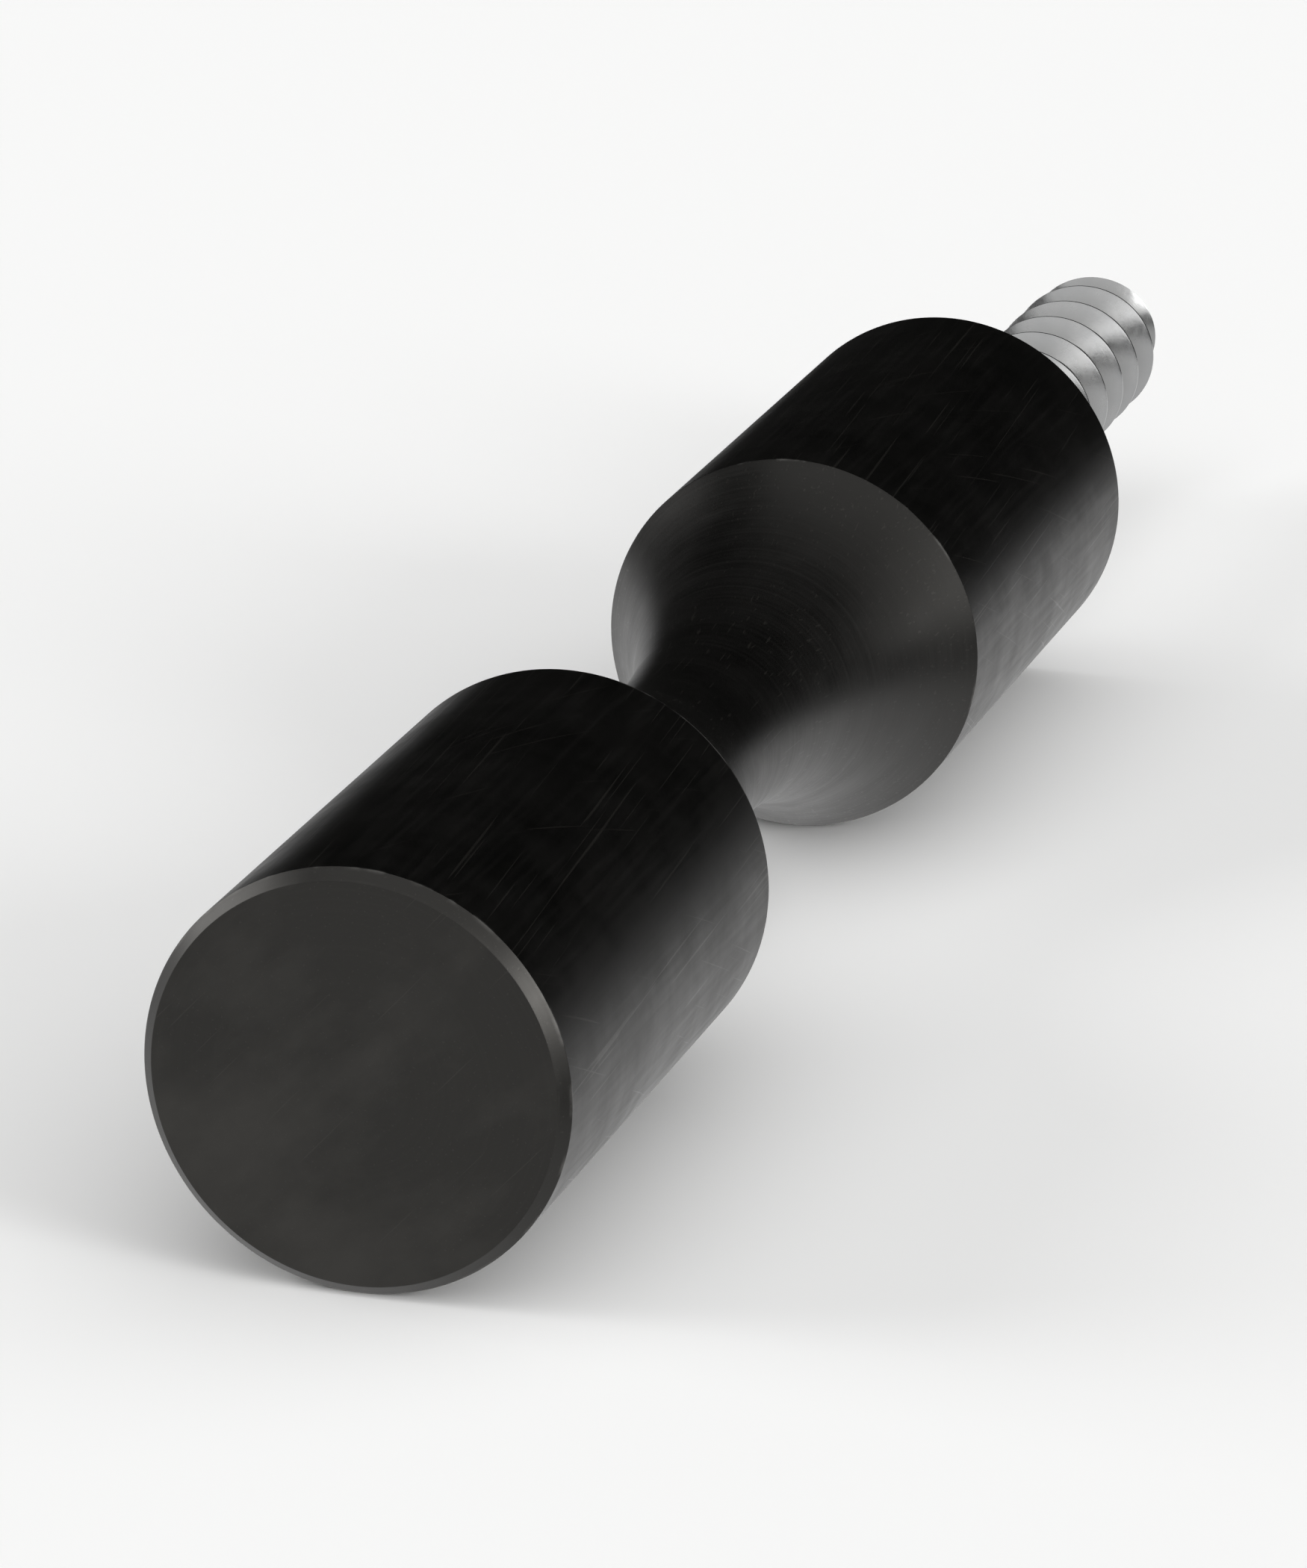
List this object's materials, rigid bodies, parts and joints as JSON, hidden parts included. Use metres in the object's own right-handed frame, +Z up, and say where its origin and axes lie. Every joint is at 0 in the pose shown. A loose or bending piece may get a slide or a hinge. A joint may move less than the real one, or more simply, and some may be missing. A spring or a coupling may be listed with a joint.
{
  "type": "wine bottle wall peg",
  "caption": "Black round wall peg turned from bar, with a concave saddle groove between plain lands for a bottle lying across it, and a hanger bolt that goes into the wall.",
  "frame": {"origin": "centre of the peg's back face, in the plane of the wall", "axes": "+Y along the peg's axis into the wall, so the peg stands out along -Y; +Z up; +X to the right for someone facing the wall"},
  "size_m": [0.019, 0.1354, 0.019],
  "materials": {
    "black_anodised": "satin black anodised, turned",
    "zinc_plated": "bright zinc plated steel"
  },
  "bodies": {
    "root": {"peg": "black_anodised", "hanger_bolt": "zinc_plated"}
  },
  "joints": []
}
